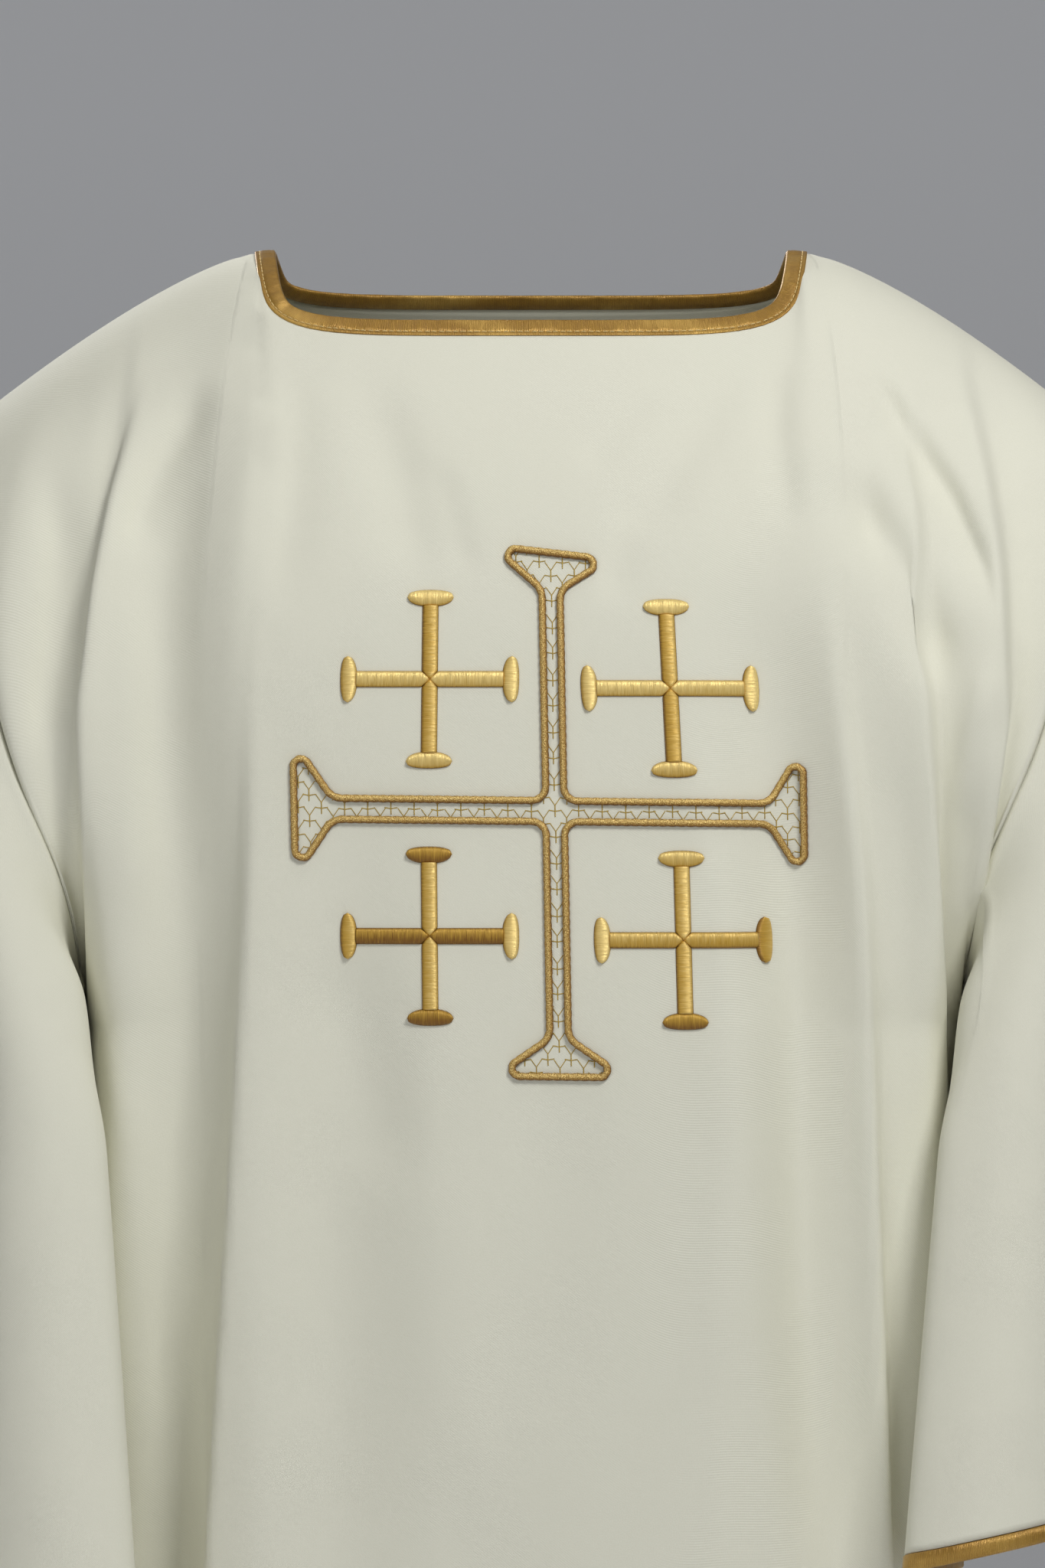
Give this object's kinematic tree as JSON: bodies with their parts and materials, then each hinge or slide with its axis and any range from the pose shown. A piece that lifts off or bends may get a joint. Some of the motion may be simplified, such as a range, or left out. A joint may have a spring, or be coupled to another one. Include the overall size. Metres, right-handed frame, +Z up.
{
  "type": "dalmatic",
  "caption": "Wide ivory church tunic with open hanging sleeves, a squared neck bound in gold satin and a gold embroidered cross with small crosses on the front, in its worn hollow form.",
  "frame": {"origin": "midway between the two neck points, on the line along which the wearer's shoulders carry the garment", "axes": "+Z up, the front faces -Y, +X to the right of a viewer who looks at the front"},
  "size_m": [0.6354, 0.3604, 1.1905],
  "materials": {
    "body_cloth": "matte ivory twill",
    "sleeve_cloth": "matte ivory twill",
    "satin_binding": "gold satin bias tape with fine cross ribs",
    "gold_cord": "twisted gold cord, couched down",
    "gold_stitch": "gold satin stitch"
  },
  "bodies": {
    "root": {"front_panel": "body_cloth", "back_panel": "body_cloth", "right_sleeve": "sleeve_cloth", "left_sleeve": "sleeve_cloth", "neck_binding": "satin_binding", "right_cuff_binding": "satin_binding", "left_cuff_binding": "satin_binding", "large_cross_cord": "gold_cord", "small_cross_upper_left": "gold_stitch", "small_cross_upper_right": "gold_stitch", "small_cross_lower_left": "gold_stitch", "small_cross_lower_right": "gold_stitch"}
  },
  "joints": []
}
